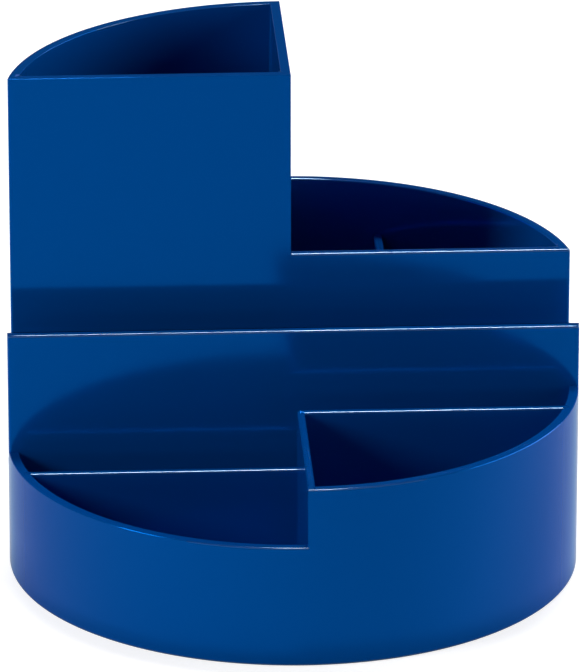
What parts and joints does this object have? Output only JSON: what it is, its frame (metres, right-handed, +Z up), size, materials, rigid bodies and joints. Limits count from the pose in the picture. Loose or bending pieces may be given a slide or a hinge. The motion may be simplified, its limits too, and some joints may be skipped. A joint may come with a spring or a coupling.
{
  "type": "round desk organizer",
  "caption": "Round desk organizer: a low drum with a stepped front rim, small trays, an open-ended letter slot, and a tall and a short pen cup at the back.",
  "frame": {"origin": "middle of the round underside, on the desk", "axes": "+Z up, the front trays face -Y, the tall cup is at the back on the -X side"},
  "size_m": [0.14, 0.14, 0.121],
  "materials": {
    "moulded_plastic": "high gloss, cobalt blue"
  },
  "bodies": {
    "root": {"base_plate": "moulded_plastic", "front_wall": "moulded_plastic", "cross_wall": "moulded_plastic", "front_divider": "moulded_plastic", "letter_wall": "moulded_plastic", "tall_cup": "moulded_plastic", "short_cup": "moulded_plastic", "cup_partition": "moulded_plastic"}
  },
  "joints": []
}
